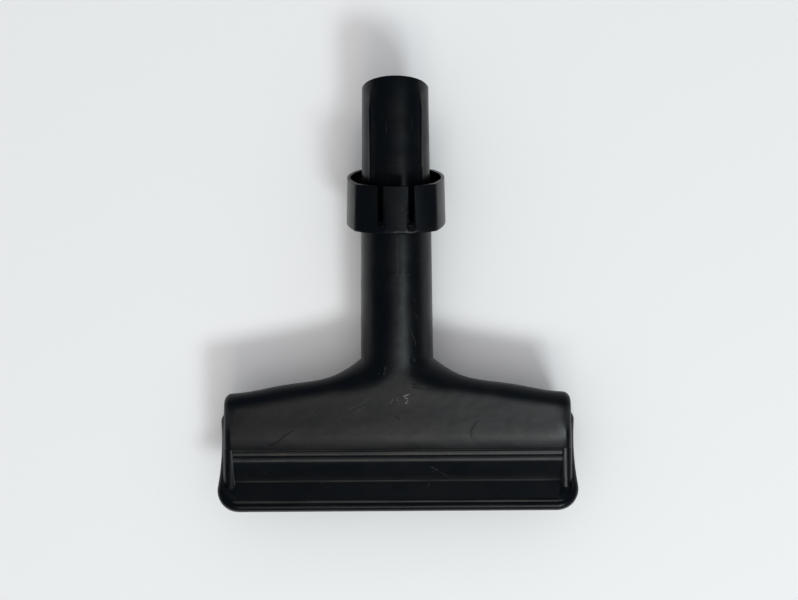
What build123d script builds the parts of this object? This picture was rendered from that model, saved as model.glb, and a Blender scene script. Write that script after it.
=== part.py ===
from build123d import *
import os
from math import asin, atan2, cos, degrees, hypot, pi, radians, sin, sqrt, tan

# Upholstery nozzle for a vacuum cleaner, one hollow moulding in black plastic. All sizes are in millimetres.
# It is drawn with the tube along +Y and the front towards +Z. The origin is where the tube's axis crosses the
# upper face of the sole, and every "_at" below is a distance along the axis from there. The finished moulding
# is then tipped and set down the way it comes to rest.

wall = 2.3

# Spigot, the tapered tube end that plugs into the wand
spigot_radius = 16.0
spigot_seat_length = 24.0
spigot_length = 59.35
spigot_tip_radius = 15.4
spigot_cut_angle = 25.7
spigot_rim_chamfer = 0.5
crush_rib_angle = 49.0
crush_rib_width = 0.9
crush_rib_height = 0.2
crush_rib_length = 56.0
crush_rib_run_in = 5.0

# Collar, a rounded-square cup around the spigot's root with a spring tongue at the front
collar_foot_at = 114.6
collar_height = 22.1
collar_floor = 4.4
collar_wall = 1.5
collar_half_width = 22.9
collar_half_depth = 24.6
collar_corner_x = 18.5
collar_corner_z = 18.2
collar_flare = 0.7
collar_foot_chamfer = 0.6
tongue_width = 11.44
slot_width = 2.64
slot_below_floor = 1.3

# Neck, from the collar down to the head
neck_top_radius = 16.74
neck_foot_radius = 17.8
neck_foot_at = 48.4
heel_start_at = 49.5
heel_angle = 16.0
heel_reach = 28.0

# Head, a wedge whose ridge rises in the middle to meet the neck
front_margin = 0.05
ridge_at = 45.4
ridge_fall = 0.163
shoulder_radius = 46.0
shoulder_reach = 38.5
wing_radius = 5.7
wing_reach = 37.0
head_half_width = 86.0
end_draft = 3.3
end_rounding = 4.0
brow_at = 5.0
front_foot_reach = 22.6
rear_foot_reach = 17.7
head_root = 1.0
cavity_brow_at = 8.0
cavity_foot_reach = 16.5

# Fluting across the lower front, between the two end rims
flute_end_rim = 5.0
step_round_at = 5.5
step_at = 4.4
step_foot_at = 3.4
groove_depth = 1.3
bead_top_at = 1.3
bead_depth = 1.0
bead_crown = 0.25
bead_foot_at = -2.4
flute_foot_reach = 19.1

# Sole, the flange around the mouth, with slightly waisted sides
sole_angle = 45.0
sole_thickness = 4.5
sole_front_reach = 33.4
sole_rear_reach = 20.65
sole_front_half_width = 91.6
sole_waist_half_width = 88.99
sole_rear_half_width = 91.35
sole_waist_at = -4.6
sole_front_corner = 11.3
sole_rear_corner = 6.0
sole_edge_rounding = 3.2
welt_inset = 3.2
welt_width = 1.2
welt_height = 0.5

# Underside: the mouth's cross ribs and the trough that hollows the front of the flange
mouth_rib_width = 1.8
mouth_rib_height = 9.5
mouth_rib_setback = 1.5
mouth_rib_pitch = 55.0
mouth_rib_count = 2
trough_rim = 2.6
trough_back_reach = 18.9
trough_rib_width = 1.5
trough_rib_pitch = 27.5
trough_rib_count = 5

front_level = neck_foot_radius + front_margin
floor_at = collar_foot_at + collar_floor
rim_at = collar_foot_at + collar_height
flute_half_length = head_half_width - flute_end_rim
far = 200.0

# The sole's upper face: x across, y towards the rear, z away from the mouth
slant = radians(sole_angle)
rearward = (cos(slant), -sin(slant))
upward = (sin(slant), cos(slant))
sole_top = Plane(origin=(0, 0, 0), x_dir=(1, 0, 0), z_dir=(0, *upward))
stations = [0.0, 6.0, 12.0, 18.0, 24.0, 30.0, 37.0, 46.0, 62.0, 80.0, 96.0]


def on_sole(distance):
    """Point of the section plane on the sole's upper face, a distance behind the axis."""
    return (distance * rearward[0], distance * rearward[1])


def crossing(point, direction, other_point, other_direction):
    """Where two lines in the section plane cross."""
    turn = direction[0] * other_direction[1] - direction[1] * other_direction[0]
    gap_y = other_point[0] - point[0]
    gap_z = other_point[1] - point[1]
    along = (gap_y * other_direction[1] - gap_z * other_direction[0]) / turn
    return (point[0] + along * direction[0], point[1] + along * direction[1])


def ridge_radius(x):
    """Roundness of the head's ridge: the neck's in the middle, easing out to that of the slim wings."""
    share = min(x / wing_reach, 1.0)
    return wing_radius + (neck_foot_radius - wing_radius) * cos(pi / 2 * share) ** 2


def ridge_top(x):
    """Height of the ridge: a straight fall along the wing and an arc that sweeps up to the neck."""
    into_arc = max(shoulder_reach - x, 0.0)
    rise = shoulder_radius - sqrt(shoulder_radius**2 - into_arc**2)
    return ridge_at - ridge_fall * x + rise


def head_section(x, inset, front_brow_at, foot_reach, below):
    """Section of the head across x: ridge arc, flat front, brow, foot and back, drawn in by inset.

    The ridge's arc is tangent to the flat front and to the back, which runs down to the rear foot. The
    section ends below the sole's upper face; drawn in, it goes down square to that face.
    """
    radius = ridge_radius(x)
    centre = (ridge_top(x) - radius, front_level - radius)
    rear_foot = on_sole(rear_foot_reach)
    to_centre = (centre[0] - rear_foot[0], centre[1] - rear_foot[1])
    lean = atan2(to_centre[1], to_centre[0]) - asin(radius / hypot(*to_centre))
    back_line = (cos(lean), sin(lean))
    arc_radius = radius - inset
    back_top = (centre[0] + arc_radius * sin(lean), centre[1] - arc_radius * cos(lean))
    front_top = (centre[0], centre[1] + arc_radius)
    half_turn = lean / 2
    arc_middle = (centre[0] + arc_radius * cos(half_turn), centre[1] + arc_radius * sin(half_turn))
    brow = (front_brow_at, front_level - inset)
    front_foot = on_sole(-foot_reach)
    back_foot = crossing(back_top, back_line, (0, 0), rearward)
    under = (-below * upward[0], -below * upward[1])
    if inset > 0:
        front_end = (front_foot[0] + under[0], front_foot[1] + under[1])
        back_end = (back_foot[0] + under[0], back_foot[1] + under[1])
        outline = [front_top, brow, front_foot, front_end, back_end, back_foot, back_top]
    else:
        brow_line = (front_foot[0] - brow[0], front_foot[1] - brow[1])
        front_end = crossing(brow, brow_line, under, rearward)
        back_end = crossing(back_top, back_line, under, rearward)
        outline = [front_top, brow, front_end, back_end, back_top]
    with BuildSketch(Plane.YZ.offset(x)) as section:
        with BuildLine():
            ThreePointArc(back_top, arc_middle, front_top)
            Polyline(*outline)
        make_face()
    return section.sketch


def head_solid(inset, front_brow_at, foot_reach, below):
    """The wedge of the head drawn in by inset, between two end walls that lean out towards the mouth."""
    spread = tan(radians(end_draft))
    half = head_half_width - inset
    with BuildPart() as wedge:
        loft([head_section(x, inset, front_brow_at, foot_reach, below) for x in stations])
        mirror(about=Plane.YZ)
        with BuildSketch(Plane.XY):
            with BuildLine():
                near = half - far * spread
                wide = half + far * spread
                Polyline((-near, far), (near, far), (wide, -far), (-wide, -far), close=True)
            make_face()
        extrude(amount=far, both=True, mode=Mode.INTERSECT)
    return wedge.part


def tube_solid(inset):
    """The tube from the head to past the spigot's tip, drawn in by inset, with its foot cut to the heel."""
    tube_end_at = floor_at + far / 2
    taper = (spigot_radius - spigot_tip_radius) / (spigot_length - spigot_seat_length)
    end_radius = spigot_radius - taper * (far / 2 - spigot_seat_length)
    heel = Plane(
        origin=(0, heel_start_at, -neck_foot_radius),
        x_dir=(1, 0, 0),
        z_dir=(0, sin(radians(heel_angle)), cos(radians(heel_angle))),
    )
    with BuildPart() as foot:
        with BuildSketch(Plane.XZ.offset(-neck_foot_at)):
            Circle(neck_foot_radius - inset)
        extrude(amount=heel_reach)
        split(bisect_by=heel.offset(inset), keep=Keep.TOP)
    with BuildPart() as tube:
        with BuildSketch(Plane.YZ):
            Polygon(
                (neck_foot_at, 0),
                (neck_foot_at, neck_foot_radius - inset),
                (collar_foot_at, neck_top_radius - inset),
                (floor_at, spigot_radius - inset),
                (floor_at + spigot_seat_length, spigot_radius - inset),
                (tube_end_at, end_radius - inset),
                (tube_end_at, 0),
                align=None,
            )
        revolve(axis=Axis.Y)
        add(foot.part)
    return tube.part


def sole_outline(depth, inset):
    """Plan of the sole, drawn flat at a depth under its upper face: round corners and waisted sides."""
    front_half = sole_front_half_width - inset
    waist_half = sole_waist_half_width - inset
    rear_half = sole_rear_half_width - inset
    front = inset - sole_front_reach
    rear = sole_rear_reach - inset
    with BuildSketch(Plane.XY.offset(-depth)) as outline:
        with BuildLine():
            Line((-front_half, front), (front_half, front))
            ThreePointArc((front_half, front), (waist_half, sole_waist_at), (rear_half, rear))
            Line((rear_half, rear), (-rear_half, rear))
            ThreePointArc((-rear_half, rear), (-waist_half, sole_waist_at), (-front_half, front))
        make_face()
        fillet(outline.vertices().group_by(Axis.Y)[0], radius=sole_front_corner - inset)
        fillet(outline.vertices().group_by(Axis.Y)[-1], radius=sole_rear_corner - inset)
    return outline.sketch


def collar_outline(height_at, growth):
    """Plan of the collar at a height: four arcs that meet in four upright edges."""
    side = collar_half_width + growth
    front = collar_half_depth + growth
    corner_x = collar_corner_x + growth
    corner_z = collar_corner_z + growth
    with BuildSketch(Plane.XZ.offset(-height_at)) as outline:
        with BuildLine():
            ThreePointArc((-corner_x, corner_z), (0, front), (corner_x, corner_z))
            ThreePointArc((corner_x, corner_z), (side, 0), (corner_x, -corner_z))
            ThreePointArc((corner_x, -corner_z), (0, -front), (-corner_x, -corner_z))
            ThreePointArc((-corner_x, -corner_z), (-side, 0), (-corner_x, corner_z))
        make_face()
    return outline.sketch


def rib_plane(turn):
    """Radial plane through the tube's axis, turned from the front: x along the tube, y outwards."""
    return Plane(origin=(0, 0, 0), x_dir=(0, 1, 0), z_dir=(cos(radians(turn)), 0, -sin(radians(turn))))


tube = tube_solid(0)
bore = tube_solid(wall)
wedge = head_solid(0, brow_at, front_foot_reach, head_root)
cavity = head_solid(wall, cavity_brow_at, cavity_foot_reach, sole_thickness + wall)

# The head's outside, with its end edges rounded and the fluting cut across the lower front
with BuildPart() as head:
    add(wedge)
    end_faces = head.faces().sort_by(Axis.X)
    end_edges = end_faces[0].edges() + end_faces[-1].edges()
    rounded = [edge for edge in end_edges if sole_top.to_local_coords(edge.center()).Z > wall]
    fillet(rounded, radius=end_rounding)
    flute_foot = on_sole(-flute_foot_reach)
    flute_out = (flute_foot[0] - far * rearward[0], flute_foot[1] - far * rearward[1])
    groove_level = front_level - groove_depth
    bead_level = front_level - bead_depth
    bead_middle_at = (bead_top_at + bead_foot_at) / 2
    with BuildSketch(Plane.YZ):
        with BuildLine():
            Line((step_round_at, far), (step_round_at, front_level))
            rolled = Line((step_at, groove_level + groove_depth / 2), (step_foot_at, groove_level))
            TangentArc((step_round_at, front_level), rolled @ 0, tangent=(-1, 0))
            Line(rolled @ 1, (bead_top_at, groove_level))
            Line((bead_top_at, groove_level), (bead_top_at, bead_level))
            ThreePointArc(
                (bead_top_at, bead_level),
                (bead_middle_at, bead_level + bead_crown),
                (bead_foot_at, bead_level),
            )
            Polyline((bead_foot_at, bead_level), flute_foot, flute_out, (flute_out[0], far), (step_round_at, far))
        make_face()
    extrude(amount=flute_half_length, both=True, mode=Mode.SUBTRACT)

# The collar's cup, its spring tongue and the floor that joins it to the tube, as a node of its own: it is
# the same moulding, and it meets the tube face to face
with BuildPart() as collar:
    loft([collar_outline(collar_foot_at, collar_flare), collar_outline(rim_at, 0)])
    floor_growth = collar_flare * (rim_at - floor_at) / collar_height
    loft(
        [
            collar_outline(floor_at, floor_growth - collar_wall),
            collar_outline(rim_at, -collar_wall),
        ],
        mode=Mode.SUBTRACT,
    )
    chamfer(collar.faces().sort_by(Axis.Y)[0].edges(), length=collar_foot_chamfer)
    slot_height = collar_height - collar_floor + slot_below_floor
    with BuildSketch(Plane.XY.offset(collar_corner_z)):
        with Locations((0, rim_at - slot_height / 2)):
            with GridLocations(tongue_width + slot_width, 0, 2, 1):
                Rectangle(slot_width, slot_height)
    extrude(amount=far, mode=Mode.SUBTRACT)
    add(tube, mode=Mode.SUBTRACT)

# The flange around the mouth, drawn flat, with a rolled upper edge and a fine welt just inside it
with BuildPart() as sole:
    add(sole_outline(sole_thickness, 0))
    extrude(amount=sole_thickness)
    fillet(sole.faces().sort_by(Axis.Z)[-1].edges(), radius=sole_edge_rounding)
    extrude(sole_outline(welt_height, welt_inset), amount=2 * welt_height)
    extrude(sole_outline(0, welt_inset + welt_width), amount=2 * welt_height, mode=Mode.SUBTRACT)

# The trough under the front of the flange, drawn flat, with its stiffening ribs left standing
with BuildPart() as trough:
    extrude(sole_outline(sole_thickness, trough_rim), amount=sole_thickness - wall)
    with BuildSketch(Plane.XY.offset(-sole_thickness)):
        with Locations((0, -trough_back_reach)):
            Rectangle(far, far, align=(Align.CENTER, Align.MIN))
        with GridLocations(trough_rib_pitch, 0, trough_rib_count, 1):
            Rectangle(trough_rib_width, far)
    extrude(amount=sole_thickness, mode=Mode.SUBTRACT)

# The chamber behind the mouth, with the mouth's cross ribs left standing
with BuildPart() as chamber:
    add(cavity)
    with BuildSketch(sole_top.offset(mouth_rib_setback - sole_thickness)):
        with GridLocations(mouth_rib_pitch, 0, mouth_rib_count, 1):
            Rectangle(mouth_rib_width, far)
    extrude(amount=mouth_rib_height, mode=Mode.SUBTRACT)

# Four fine crush ribs along the spigot, which run in at the tip and stop short of its oblique end
rim_middle_at = floor_at + spigot_length
cut = radians(spigot_cut_angle)
spigot_end = Plane(origin=(0, rim_middle_at, 0), x_dir=(1, 0, 0), z_dir=(0, cos(cut), -sin(cut)))
rib_turns = [crush_rib_angle, 180 - crush_rib_angle, 180 + crush_rib_angle, 360 - crush_rib_angle]
rib_end_at = floor_at + crush_rib_length
rib_top_at = rib_end_at - crush_rib_run_in
rib_taper = (spigot_radius - spigot_tip_radius) / (spigot_length - spigot_seat_length)
rib_radius = spigot_radius + crush_rib_height
rib_top_radius = rib_radius - rib_taper * (rib_top_at - floor_at - spigot_seat_length)
rib_end_radius = rib_top_radius - crush_rib_height - rib_taper * crush_rib_run_in
rib_root = spigot_radius - wall / 2
with BuildPart() as ribs:
    for turn in rib_turns:
        with BuildSketch(rib_plane(turn)):
            Polygon(
                (floor_at, rib_root),
                (floor_at, rib_radius),
                (floor_at + spigot_seat_length, rib_radius),
                (rib_top_at, rib_top_radius),
                (rib_end_at, rib_end_radius),
                (rib_end_at, rib_root),
                align=None,
            )
        extrude(amount=crush_rib_width / 2, both=True)
    split(bisect_by=spigot_end.offset(-crush_rib_run_in / 2), keep=Keep.BOTTOM)

# Tube, head and sole: outside first, then the bore, the chamber behind the mouth and the trough
with BuildPart() as nozzle:
    add(tube)
    split(bisect_by=spigot_end, keep=Keep.BOTTOM)
    chamfer(nozzle.faces().sort_by(Axis.Y)[-1].edges(), length=spigot_rim_chamfer)
    add(ribs.part)
    add(head.part)
    with Locations(sole_top.location):
        add(sole.part)
    add(chamber.part, mode=Mode.SUBTRACT)
    add(bore, mode=Mode.SUBTRACT)
    with Locations(sole_top.location):
        add(trough.part, mode=Mode.SUBTRACT)

# Tipped and set down: it lies on the back of the collar and on the lower rear edge of the sole
collar_touch_at = collar_foot_at + collar_foot_chamfer
collar_touch_growth = collar_flare * (rim_at - collar_touch_at) / collar_height
collar_back = (collar_touch_at, -(collar_half_depth + collar_touch_growth))
sole_rear = on_sole(sole_rear_reach)
sole_heel = (sole_rear[0] - sole_thickness * upward[0], sole_rear[1] - sole_thickness * upward[1])
rest_tilt = degrees(atan2(sole_heel[1] - collar_back[1], collar_back[0] - sole_heel[0]))
with BuildPart() as tipped:
    add(nozzle.part, rotation=(rest_tilt, 0, 0))
extent = tipped.part.bounding_box()
set_down = Location((0, -(extent.min.Y + extent.max.Y) / 2, -extent.min.Z), (rest_tilt, 0, 0))
with BuildPart() as nozzle_body:
    with Locations(set_down):
        add(nozzle.part)
with BuildPart() as collar_cup:
    with Locations(set_down):
        add(collar.part)

os.makedirs("parts", exist_ok=True)
nozzle_body.part.label = "nozzle_body"
export_step(nozzle_body.part, "parts/nozzle_body.step")
collar_cup.part.label = "collar_cup"
export_step(collar_cup.part, "parts/collar_cup.step")
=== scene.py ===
import math

import bmesh
import bpy
import numpy as np
from mathutils import Matrix, Vector


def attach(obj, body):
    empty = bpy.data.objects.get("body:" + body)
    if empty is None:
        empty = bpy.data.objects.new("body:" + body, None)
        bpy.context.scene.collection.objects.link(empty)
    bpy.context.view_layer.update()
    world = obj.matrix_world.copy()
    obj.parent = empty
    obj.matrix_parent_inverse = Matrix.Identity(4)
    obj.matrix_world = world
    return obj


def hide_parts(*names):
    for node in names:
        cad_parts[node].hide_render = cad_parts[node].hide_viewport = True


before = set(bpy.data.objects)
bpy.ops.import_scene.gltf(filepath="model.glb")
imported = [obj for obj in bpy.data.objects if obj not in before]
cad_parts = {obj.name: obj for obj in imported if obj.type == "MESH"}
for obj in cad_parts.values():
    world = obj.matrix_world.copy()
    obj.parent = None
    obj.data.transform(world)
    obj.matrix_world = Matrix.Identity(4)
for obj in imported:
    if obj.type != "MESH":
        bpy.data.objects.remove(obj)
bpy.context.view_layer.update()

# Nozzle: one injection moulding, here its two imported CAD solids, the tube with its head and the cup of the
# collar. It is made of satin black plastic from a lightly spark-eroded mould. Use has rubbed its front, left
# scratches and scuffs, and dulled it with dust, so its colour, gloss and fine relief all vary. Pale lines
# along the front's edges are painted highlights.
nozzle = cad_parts["nozzle_body"]
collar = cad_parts["collar_cup"]

black_plastic = bpy.data.materials.new("black_plastic")
black_plastic.use_nodes = True
plastic_nodes = black_plastic.node_tree.nodes
plastic_links = black_plastic.node_tree.links
plastic_nodes.clear()
plastic_out = plastic_nodes.new("ShaderNodeOutputMaterial")
plastic = plastic_nodes.new("ShaderNodeBsdfPrincipled")
plastic_links.new(plastic.outputs["BSDF"], plastic_out.inputs["Surface"])
plastic.inputs["IOR"].default_value = 1.5
plastic.inputs["Specular IOR Level"].default_value = 0.19
plastic.inputs["Metallic"].default_value = 0.0
coordinates = plastic_nodes.new("ShaderNodeTexCoord")


def plastic_math(kind, *values):
    """One sum on up to three values."""
    node = plastic_nodes.new("ShaderNodeMath")
    node.operation = kind
    for socket, value in zip(node.inputs, values):
        if isinstance(value, (int, float)):
            socket.default_value = value
        else:
            plastic_links.new(value, socket)
    return node.outputs["Value"]


def plastic_ramp(value, low, high, start=0.0, end=1.0):
    """Smooth step: start below low, end above high."""
    ramp = plastic_nodes.new("ShaderNodeMapRange")
    ramp.interpolation_type = "SMOOTHSTEP"
    for name, number in (("From Min", low), ("From Max", high), ("To Min", start), ("To Max", end)):
        ramp.inputs[name].default_value = number
    plastic_links.new(value, ramp.inputs["Value"])
    return ramp.outputs["Result"]


def plastic_noise(scale, detail=2.0, roughness=0.5, stretch=(1, 1, 1), turn=0.0, bend=0.0):
    """Noise on object coordinates, turned about Z in degrees and then stretched: it lies between 0 and 1."""
    place = plastic_nodes.new("ShaderNodeMapping")
    place.inputs["Scale"].default_value = stretch
    place.inputs["Rotation"].default_value = (0, 0, math.radians(turn))
    plastic_links.new(coordinates.outputs["Object"], place.inputs["Vector"])
    noise = plastic_nodes.new("ShaderNodeTexNoise")
    noise.inputs["Scale"].default_value = scale
    noise.inputs["Detail"].default_value = detail
    noise.inputs["Roughness"].default_value = roughness
    noise.inputs["Distortion"].default_value = bend
    plastic_links.new(place.outputs["Vector"], noise.inputs["Vector"])
    return noise.outputs["Fac"]


# Marks on the front. Each is a stroke between two points seen from above, in millimetres: its mask is 1 on
# the stroke and fades to 0 past half its width. The strokes wander a little, and the back has none.
spot = plastic_nodes.new("ShaderNodeSeparateXYZ")
plastic_links.new(coordinates.outputs["Object"], spot.inputs["Vector"])
facing = plastic_nodes.new("ShaderNodeSeparateXYZ")
plastic_links.new(coordinates.outputs["Normal"], facing.inputs["Vector"])
front = plastic_ramp(facing.outputs["Z"], 0.2, 0.5)
x_mm = plastic_math("MULTIPLY", spot.outputs["X"], 1000.0)
y_mm = plastic_math("MULTIPLY", spot.outputs["Y"], 1000.0)
wander = plastic_math("SUBTRACT", plastic_noise(130.0, 1.0), 0.5)
across = plastic_math("MULTIPLY_ADD", wander, 1.5, x_mm)
along = plastic_math("MULTIPLY_ADD", wander, -1.0, y_mm)
break_up = plastic_ramp(plastic_noise(1400.0, 2.0), 0.38, 0.55)


def stroke(start, end, width):
    """Distance to a segment: the point's share along it is clamped to 0..1, and what is left is measured."""
    run_x, run_y = end[0] - start[0], end[1] - start[1]
    square = run_x**2 + run_y**2
    off_x = plastic_math("SUBTRACT", across, float(start[0]))
    off_y = plastic_math("SUBTRACT", along, float(start[1]))
    share_y = plastic_math("MULTIPLY", off_y, run_y / square)
    share = plastic_math("MULTIPLY_ADD", off_x, run_x / square, share_y)
    share = plastic_math("MINIMUM", plastic_math("MAXIMUM", share, 0.0), 1.0)
    gap_x = plastic_math("MULTIPLY_ADD", share, -run_x, off_x)
    gap_y = plastic_math("MULTIPLY_ADD", share, -run_y, off_y)
    gap_squared = plastic_math("MULTIPLY_ADD", gap_x, gap_x, plastic_math("MULTIPLY", gap_y, gap_y))
    gap = plastic_math("POWER", gap_squared, 0.5)
    return plastic_ramp(gap, width * 0.3, width * 0.75, 1.0, 0.0)


def strokes(segments):
    """Several strokes as one mask."""
    mask = None
    for start, end, width in segments:
        line = stroke(start, end, width)
        mask = line if mask is None else plastic_math("MAXIMUM", mask, line)
    return plastic_math("MULTIPLY", mask, front)


# The white scuff below the neck, and fine light scratches
scuff = strokes([
    ((5.4, -45.4), (3.4, -46.4), 0.7), ((3.4, -46.4), (5.0, -48.2), 0.75), ((5.0, -48.2), (4.2, -50.0), 0.6),
    ((-1.5, -45.8), (-2.6, -50.2), 0.14), ((-0.6, -46.4), (1.4, -50.6), 0.14),
])
light_scratches = strokes([
    ((-22.9, -52.8), (-12.2, -46.7), 0.26), ((-19.5, -54.2), (-16.0, -51.6), 0.2),
    ((-6.6, -35.4), (-5.4, -31.6), 0.4), ((15.9, -83.6), (24.6, -89.7), 0.2),
    ((14.6, -95.1), (15.9, -93.2), 0.25), ((8.8, -21.0), (6.6, -13.0), 0.2),
])
scratch_strength = 0.25
scratches = plastic_math("MULTIPLY", light_scratches, scratch_strength)
light_marks = plastic_math("MULTIPLY", plastic_math("MAXIMUM", scuff, scratches), break_up)

# Dark scratches, and the pits on the right of the neck
dark_scratches = strokes([
    ((-62.8, -71.5), (-57.4, -68.7), 0.5), ((-57.4, -68.7), (-51.1, -63.5), 0.4),
    ((-58.8, -71.2), (-57.0, -68.2), 0.35), ((38.9, -59.5), (37.6, -61.6), 0.35),
    ((37.6, -61.6), (35.4, -65.2), 0.35), ((35.4, -65.2), (35.9, -67.9), 0.35),
    ((7.7, 0.9), (7.9, 0.2), 1.7), ((8.6, -5.5), (9.7, -7.8), 0.4), ((9.7, -7.8), (7.7, -9.2), 0.4),
    ((7.6, -28.8), (7.9, -29.3), 1.8), ((6.9, -39.6), (8.6, -40.0), 0.9), ((7.6, -41.4), (11.4, -42.4), 0.8),
    ((-1.0, -56.6), (0.6, -57.8), 0.4),
])

# The mould's parting step on the neck: a fine raised line along it, and another across
seam = strokes([((0.45, 31.5), (0.45, 14.1), 0.3), ((-0.6, 14.1), (6.4, 13.9), 0.24)])

# Painted highlights: pale lines painted on edges of the front, all of them across it, for the bright lines
# those edges catch. Each is given by where it lies along the front and by half its width, in millimetres, and
# is patchy. None reaches the head's ends.
painted_edge_highlights = {
    "step": (-74.6, 0.75),
    "groove": (-77.0, 0.4),
    "bead": (-80.1, 0.6),
    "valley": (-92.4, 0.5),
    "welt": (-100.3, 0.8),
}
edge_highlight_mask = None
for edge_at, half_width in painted_edge_highlights.values():
    off_edge = plastic_math("ABSOLUTE", plastic_math("SUBTRACT", y_mm, edge_at))
    highlight_line = plastic_ramp(off_edge, half_width * 0.3, half_width, 1.0, 0.0)
    edge_highlight_mask = highlight_line if edge_highlight_mask is None else plastic_math("MAXIMUM", edge_highlight_mask, highlight_line)
highlight_patches = plastic_ramp(plastic_noise(45.0, 3.0, 0.6, (1.0, 4.0, 4.0)), 0.3, 0.62, 0.45, 1.0)
between_ends = plastic_ramp(plastic_math("ABSOLUTE", x_mm), 80.0, 82.0, 1.0, 0.0)
edge_highlight_mask = plastic_math("MULTIPLY", edge_highlight_mask, highlight_patches)
edge_highlight_mask = plastic_math("MULTIPLY", edge_highlight_mask, plastic_math("MULTIPLY", front, between_ends))

# What is all over the plastic: hand smears, clouds in its colour, mould grain, sink ripples, hairlines, dust
smear = plastic_noise(30.0, 4.0, 0.55, (1.0, 1.6, 1.0), 20.0, 0.6)
cloud = plastic_noise(75.0, 3.0, 0.55)
grain = plastic_noise(3200.0, 2.0, 0.6)
ripple = plastic_noise(110.0, 2.0, 0.5)
hairlines_lengthwise = plastic_ramp(plastic_noise(900.0, 1.0, 0.5, (1.0, 0.035, 1.0), 38.0), 0.70, 0.76)
hairlines_crosswise = plastic_ramp(plastic_noise(1100.0, 1.0, 0.5, (0.03, 1.0, 1.0), 17.0), 0.71, 0.77)
hairlines = plastic_math("MAXIMUM", hairlines_lengthwise, hairlines_crosswise)
hairlines = plastic_math("MULTIPLY", hairlines, plastic_ramp(plastic_noise(40.0), 0.5, 0.68))
dust = plastic_ramp(plastic_noise(620.0, 2.0, 0.6), 0.69, 0.76)
dust = plastic_math("MULTIPLY", dust, plastic_ramp(smear, 0.45, 0.62))
specks = plastic_ramp(plastic_noise(1900.0, 1.0, 0.5), 0.80, 0.84)

# Gloss: rubbed patches are smoother, and scratched, scuffed and dusty places duller
dull = plastic_math("MULTIPLY_ADD", hairlines, 0.16, plastic_ramp(smear, 0.3, 0.7, 0.29, 0.37))
dull = plastic_math("MULTIPLY_ADD", light_marks, 0.2, dull)
plastic_links.new(plastic_math("MULTIPLY_ADD", dust, 0.20, dull), plastic.inputs["Roughness"])

# Colour: near black, in places a little browner, paler on scratches and dust, and with painted highlights as
# pale lines on the front's edges
cool_black = (0.0009, 0.0016, 0.0028, 1)
brown_black = (0.0021, 0.0023, 0.0028, 1)
scraped_grey = (0.30, 0.29, 0.27, 1)
tint = plastic_nodes.new("ShaderNodeMix")
tint.data_type = "RGBA"
tint.inputs["A"].default_value = cool_black
tint.inputs["B"].default_value = brown_black
plastic_links.new(plastic_ramp(cloud, 0.35, 0.7), tint.inputs["Factor"])
tone = plastic_nodes.new("ShaderNodeMix")
tone.data_type = "RGBA"
tone.inputs["B"].default_value = scraped_grey
plastic_links.new(tint.outputs["Result"], tone.inputs["A"])
pale = plastic_math("MAXIMUM", plastic_math("MULTIPLY", hairlines, 0.03), plastic_math("MULTIPLY", dust, 0.06))
pale = plastic_math("MAXIMUM", pale, plastic_math("MULTIPLY", specks, 0.25))
pale = plastic_math("MAXIMUM", pale, plastic_math("MULTIPLY", seam, 0.09))
# Painted highlights: the pale lines along the front's edges
pale = plastic_math("MULTIPLY_ADD", edge_highlight_mask, 0.085, pale)
pale = plastic_math("MAXIMUM", pale, plastic_math("MULTIPLY", light_marks, 0.5))
plastic_links.new(pale, tone.inputs["Factor"])
plastic_links.new(tone.outputs["Result"], plastic.inputs["Base Color"])

# Relief in parts of 0.1 mm: mould grain, faint sink ripples, scratches cut in, the seam standing up, and the
# flat front rolling off, with the square of the distance, by 0.8 mm over the last 8 mm before its step
roll_off_from = -66.0
roll_off_run = 8.0
rolled = plastic_math("MAXIMUM", plastic_math("SUBTRACT", roll_off_from, y_mm), 0.0)
rolled = plastic_math("MINIMUM", rolled, roll_off_run)
rolled = plastic_math("MULTIPLY", rolled, rolled)
relief = plastic_math("MULTIPLY_ADD", ripple, 1.3, plastic_math("MULTIPLY", grain, 0.12))
relief = plastic_math("MULTIPLY_ADD", rolled, -0.12, relief)
relief = plastic_math("MULTIPLY_ADD", hairlines, -0.10, relief)
relief = plastic_math("MULTIPLY_ADD", light_marks, -0.5, relief)
relief = plastic_math("MULTIPLY_ADD", dark_scratches, -1.1, relief)
relief = plastic_math("MULTIPLY_ADD", seam, 0.9, relief)
bump = plastic_nodes.new("ShaderNodeBump")
bump.inputs["Strength"].default_value = 1.0
bump.inputs["Distance"].default_value = 0.0001
plastic_links.new(relief, bump.inputs["Height"])

# Every edge is softened over 0.4 mm. Where the front, the wings and the neck's foot run into each other,
# between the nozzle's middle and the fluting, the bends are softened over 7 mm, like a crown in the mould.
soft_edges = plastic_nodes.new("ShaderNodeBevel")
soft_edges.samples = 4
soft_edges.inputs["Radius"].default_value = 0.0004
soft_bends = plastic_nodes.new("ShaderNodeBevel")
soft_bends.samples = 6
soft_bends.inputs["Radius"].default_value = 0.007
below_neck = plastic_ramp(spot.outputs["Y"], 0.0, -0.008)
above_step = plastic_ramp(spot.outputs["Y"], -0.068, -0.058)
bend_place = plastic_math("MULTIPLY", plastic_math("MULTIPLY", above_step, below_neck), front)
softened = plastic_nodes.new("ShaderNodeMix")
softened.data_type = "VECTOR"
plastic_links.new(bend_place, softened.inputs["Factor"])
plastic_links.new(soft_edges.outputs["Normal"], softened.inputs["A"])
plastic_links.new(soft_bends.outputs["Normal"], softened.inputs["B"])
plastic_links.new(softened.outputs["Result"], bump.inputs["Normal"])
plastic_links.new(bump.outputs["Normal"], plastic.inputs["Normal"])


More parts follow.
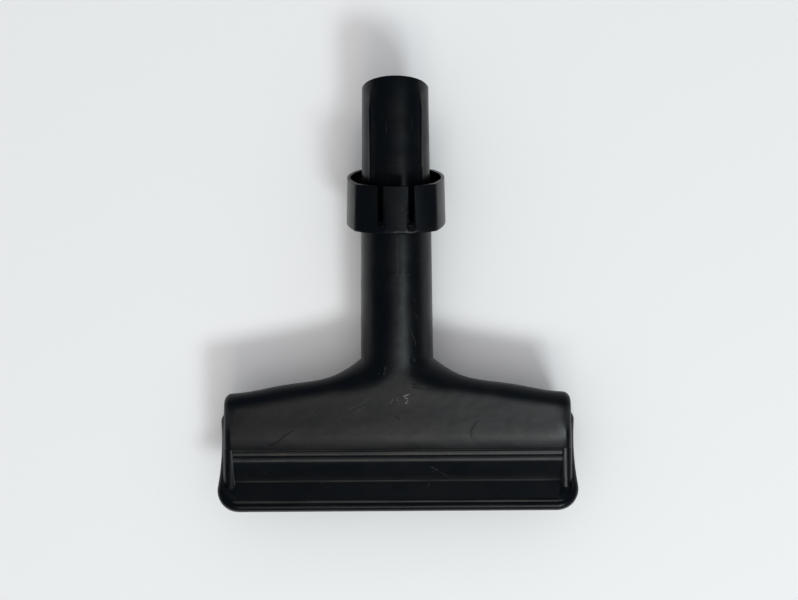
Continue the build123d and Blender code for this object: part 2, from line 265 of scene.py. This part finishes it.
def smooth_moulding(name, solid):
    """The solid's own surface: its loose triangles joined at their corners, smooth except at sharp edges."""
    corner_gap = 0.000002
    sharp_angle = math.radians(28)
    mesh = solid.data.copy()
    joined = bmesh.new()
    joined.from_mesh(mesh)
    bmesh.ops.remove_doubles(joined, verts=joined.verts, dist=corner_gap)
    joined.to_mesh(mesh)
    joined.free()
    mesh.polygons.foreach_set("use_smooth", np.ones(len(mesh.polygons), dtype=bool))
    mesh.set_sharp_from_angle(angle=sharp_angle)
    mesh.materials.clear()
    mesh.materials.append(black_plastic)
    piece = bpy.data.objects.new(name, mesh)
    bpy.context.scene.collection.objects.link(piece)
    even = piece.modifiers.new("even_normals", "WEIGHTED_NORMAL")
    even.keep_sharp = True
    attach(piece, "root")
    return piece


moulded_nozzle = smooth_moulding("moulded_nozzle", nozzle)
moulded_collar = smooth_moulding("moulded_collar", collar)
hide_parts("nozzle_body")
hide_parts("collar_cup")

# Floor: a plain pale matt sheet that the nozzle lies on, large enough to fill the picture from above. Its far
# edge shows in a view from low down. It is the picture's pale background, and keeps the nozzle's soft shadow.
floor_half = 3.0
floor_grey = 0.80
floor_mesh = bpy.data.meshes.new("floor")
corners = np.array([(-1, -1, 0), (1, -1, 0), (1, 1, 0), (-1, 1, 0)]) * floor_half
floor_mesh.from_pydata(corners.tolist(), [], [(0, 1, 2, 3)])
floor = bpy.data.objects.new("floor", floor_mesh)
bpy.context.scene.collection.objects.link(floor)
pale_floor = bpy.data.materials.new("pale_floor")
pale_floor.use_nodes = True
pale_surface = pale_floor.node_tree.nodes["Principled BSDF"]
pale_surface.inputs["Base Color"].default_value = (floor_grey, floor_grey, floor_grey, 1)
pale_surface.inputs["Roughness"].default_value = 0.9
pale_surface.inputs["Specular IOR Level"].default_value = 0.0
floor_mesh.materials.append(pale_floor)

# Camera: above the front, leaning towards the spigot's end, as in the photograph. The tube rests 4 degrees
# off the floor. The view is centred on its axis 76 mm from the sole, and leans 16.3 degrees from square to it.
rest_tilt = math.radians(4.1320)
lean = math.radians(16.3) - rest_tilt
roll = math.radians(0.38)
camera_distance = 0.5841
aim_off_axis = 0.00113
aim_along_tube = 0.076
tube_foot = Vector((0, -0.0778661, 0.0169147))
tube_run = Vector((0, math.cos(rest_tilt), math.sin(rest_tilt)))
aim = tube_foot + tube_run * aim_along_tube + Vector((aim_off_axis, 0, 0))
towards = Vector((0, math.sin(lean), math.cos(lean)))
upright = Vector((0, math.cos(lean), -math.sin(lean)))
up = upright * math.cos(roll) + Vector((1, 0, 0)) * math.sin(roll)
right = up.cross(towards)
turned = Matrix((right, up, towards)).transposed().to_4x4()
camera_data = bpy.data.cameras.new("camera")
camera_data.sensor_width = 36.0
camera_data.lens = 54.14
camera = bpy.data.objects.new("camera", camera_data)
bpy.context.scene.collection.objects.link(camera)
camera.matrix_world = Matrix.Translation(aim + towards * camera_distance) @ turned
bpy.context.scene.camera = camera

# Lights: two very wide soft ones overhead give the level, and are kept out of the gloss as crossed polarisers
# do it. A window beyond the mouth, warm on the left and bright and cool on the right, is what the front
# mirrors. A dim wall beyond the spigot, on the right, lights the flange's slope, and the room is cool.
sky_spread = 100.0
sky_colour = (1.0, 0.95, 0.93)
window_distance = 2.6


def sky_light(name, direction, strength):
    """A distant light from a direction: its strength is what a plain facing sheet gets, over pi."""
    data = bpy.data.lights.new(name, "SUN")
    data.color = sky_colour
    data.energy = math.pi * strength
    data.angle = math.radians(sky_spread)
    lamp = bpy.data.objects.new(name, data)
    bpy.context.scene.collection.objects.link(lamp)
    lamp.rotation_euler = Vector(direction).to_track_quat("Z", "Y").to_euler()
    lamp.visible_glossy = False


def soft_light(name, turn_x, turn_y, width, height, brightness, colour):
    """A rectangle of light turned off the vertical by two angles: its power is pi, area and brightness."""
    data = bpy.data.lights.new(name, "AREA")
    data.shape = "RECTANGLE"
    data.size = width
    data.size_y = height
    data.energy = math.pi * width * height * brightness
    data.color = colour
    lamp = bpy.data.objects.new(name, data)
    bpy.context.scene.collection.objects.link(lamp)
    off_vertical = Vector((math.tan(math.radians(turn_x)), math.tan(math.radians(turn_y)), 1.0))
    lamp.location = off_vertical.normalized() * window_distance
    lamp.rotation_euler = lamp.location.to_track_quat("Z", "Y").to_euler()


sky_light("sky_left", (-0.34, 0.25, 1.0), 0.33)
sky_light("sky_right", (0.26, 0.25, 1.0), 0.25)
soft_light("window_left", -1.0, -32.0, 0.82, 0.62, 5.3, (1.0, 0.90, 0.84))
soft_light("window_right", 21.5, -31.5, 0.78, 0.54, 20.0, (0.89, 0.99, 1.0))
soft_light("wall_right", 35.0, 68.0, 2.2, 1.6, 0.45, (0.88, 0.95, 1.0))

world = bpy.data.worlds.new("room")
world.use_nodes = True
bpy.context.scene.world = world
room = world.node_tree.nodes["Background"]
room.inputs["Color"].default_value = (0.55, 0.80, 1.0, 1)
room.inputs["Strength"].default_value = 0.14

bpy.context.scene.view_settings.view_transform = "Standard"
